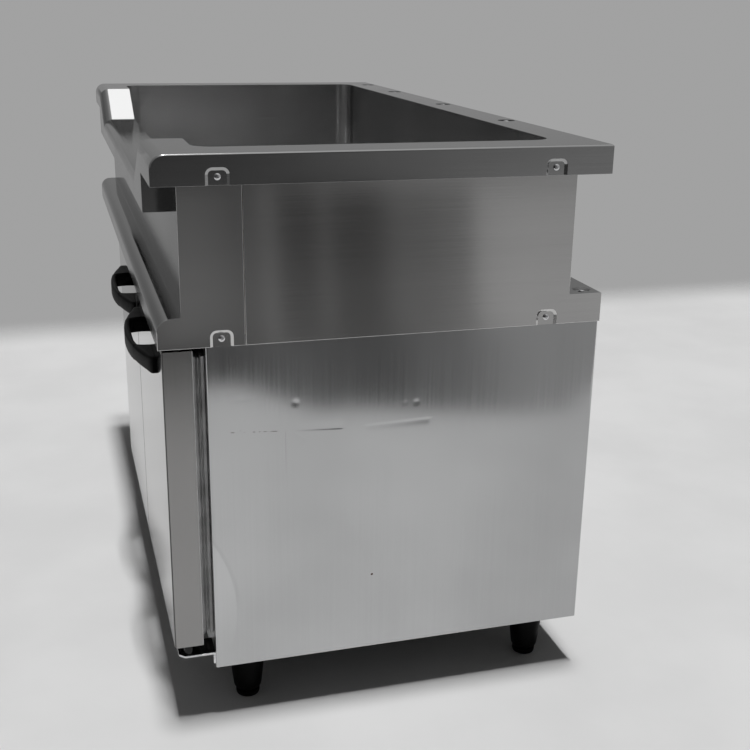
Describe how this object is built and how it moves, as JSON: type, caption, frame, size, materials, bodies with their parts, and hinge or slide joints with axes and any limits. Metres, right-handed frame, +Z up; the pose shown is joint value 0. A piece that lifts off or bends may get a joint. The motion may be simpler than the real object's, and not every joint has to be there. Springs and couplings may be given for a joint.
{
  "type": "refrigerated prep table",
  "caption": "Stainless refrigerated prep table with hinged doors below, a machine compartment at one end and an open tub on top whose wide folded rim dips along the front.",
  "frame": {"origin": "on the floor under the middle of the overall box", "axes": "+X to the user's right along the table, +Y from the doors to the rear, +Z up"},
  "size_m": [1.5, 0.781, 0.973],
  "materials": {
    "stainless": "brushed",
    "tub_steel": "brushed",
    "bright_steel": "polished",
    "coated_wire": "satin",
    "black_plastic": "satin",
    "button_plastic": "matte",
    "grey_plastic": "matte",
    "gasket": "matte",
    "rubber_mount": "matte",
    "foam": "matte",
    "display": "gloss",
    "fin_aluminium": "satin",
    "black_enamel": "gloss",
    "copper": "satin"
  },
  "bodies": {
    "cabinet": {"base_pan": "stainless", "compressor": "black_enamel", "compressor_mounts": "rubber_mount", "condenser_coil": "fin_aluminium", "condenser_fan_motor": "black_enamel", "condenser_shroud": "stainless", "control_fascia": "black_plastic", "display_window": "display", "drain_pipe": "grey_plastic", "drain_strainer": "stainless", "evaporator_coil": "fin_aluminium", "evaporator_cover": "stainless", "evaporator_fan_guard": "coated_wire", "evaporator_fan_motor": "black_enamel", "foot_legs": "black_plastic", "front_end_plates": "stainless", "front_frame": "stainless", "inner_liner": "stainless", "insulation_core": "foam", "left_hinge_brackets": "bright_steel", "left_shelf": "coated_wire", "left_side_panel": "stainless", "machine_front_panel": "stainless", "partition_panel": "stainless", "pocket_screws": "bright_steel", "rear_end_plates": "stainless", "rear_panel": "stainless", "refrigerant_lines": "copper", "right_hinge_brackets": "bright_steel", "right_shelf": "coated_wire", "right_side_panel": "stainless", "shelf_clips": "stainless", "shelf_pilasters": "stainless", "top_insulation": "foam", "tub_basin": "tub_steel", "tub_cooling_coil": "copper", "tub_rim": "stainless", "worktop_front": "stainless", "worktop_rear": "stainless"},
    "right_door": {"right_door_skin": "stainless", "right_door_core": "foam", "right_door_liner": "stainless", "right_door_gasket": "gasket", "right_door_handle": "black_plastic", "right_door_bushes": "grey_plastic"},
    "left_door": {"left_door_skin": "stainless", "left_door_core": "foam", "left_door_liner": "stainless", "left_door_gasket": "gasket", "left_door_handle": "black_plastic", "left_door_bushes": "grey_plastic"},
    "condenser_fan": {"condenser_fan": "black_plastic"},
    "evaporator_fan": {"evaporator_fan": "black_plastic"},
    "set_button": {"set_button": "button_plastic"},
    "down_button": {"down_button": "button_plastic"},
    "up_button": {"up_button": "button_plastic"},
    "front_right_adjuster": {"front_right_foot_adjuster": "black_plastic"},
    "front_left_adjuster": {"front_left_foot_adjuster": "black_plastic"},
    "rear_right_adjuster": {"rear_right_foot_adjuster": "black_plastic"},
    "rear_left_adjuster": {"rear_left_foot_adjuster": "black_plastic"}
  },
  "joints": [
    {"name": "right_door_swing", "type": "hinge", "parent": "cabinet", "child": "right_door", "pos_m": [0.728, -0.32975, 0.406], "axis": [0, 0, 1], "range_deg": [0, 105]},
    {"name": "left_door_swing", "type": "hinge", "parent": "cabinet", "child": "left_door", "pos_m": [-0.182, -0.32975, 0.406], "axis": [0, 0, -1], "range_deg": [0, 105]},
    {"name": "condenser_fan_spin", "type": "hinge", "parent": "cabinet", "child": "condenser_fan", "pos_m": [-0.54225, -0.187, 0.267], "axis": [0, 1, 0], "continuous": true},
    {"name": "evaporator_fan_spin", "type": "hinge", "parent": "cabinet", "child": "evaporator_fan", "pos_m": [-0.1885, 0.05137, 0.427], "axis": [1, 0, 0], "continuous": true},
    {"name": "set_button_press", "type": "slide", "parent": "cabinet", "child": "set_button", "axis": [0, 1, 0], "range_m": [0, 0.0012], "stiffness_N_per_m": 800},
    {"name": "down_button_press", "type": "slide", "parent": "cabinet", "child": "down_button", "axis": [0, 1, 0], "range_m": [0, 0.0012], "stiffness_N_per_m": 800},
    {"name": "up_button_press", "type": "slide", "parent": "cabinet", "child": "up_button", "axis": [0, 1, 0], "range_m": [0, 0.0012], "stiffness_N_per_m": 800},
    {"name": "front_right_foot_screw", "type": "hinge", "parent": "cabinet", "child": "front_right_adjuster", "pos_m": [0.681, -0.2225, 0], "axis": [0, 0, 1], "continuous": true},
    {"name": "front_left_foot_screw", "type": "hinge", "parent": "cabinet", "child": "front_left_adjuster", "pos_m": [-0.681, -0.2225, 0], "axis": [0, 0, 1], "continuous": true},
    {"name": "rear_right_foot_screw", "type": "hinge", "parent": "cabinet", "child": "rear_right_adjuster", "pos_m": [0.681, 0.31575, 0], "axis": [0, 0, 1], "continuous": true},
    {"name": "rear_left_foot_screw", "type": "hinge", "parent": "cabinet", "child": "rear_left_adjuster", "pos_m": [-0.681, 0.31575, 0], "axis": [0, 0, 1], "continuous": true}
  ]
}
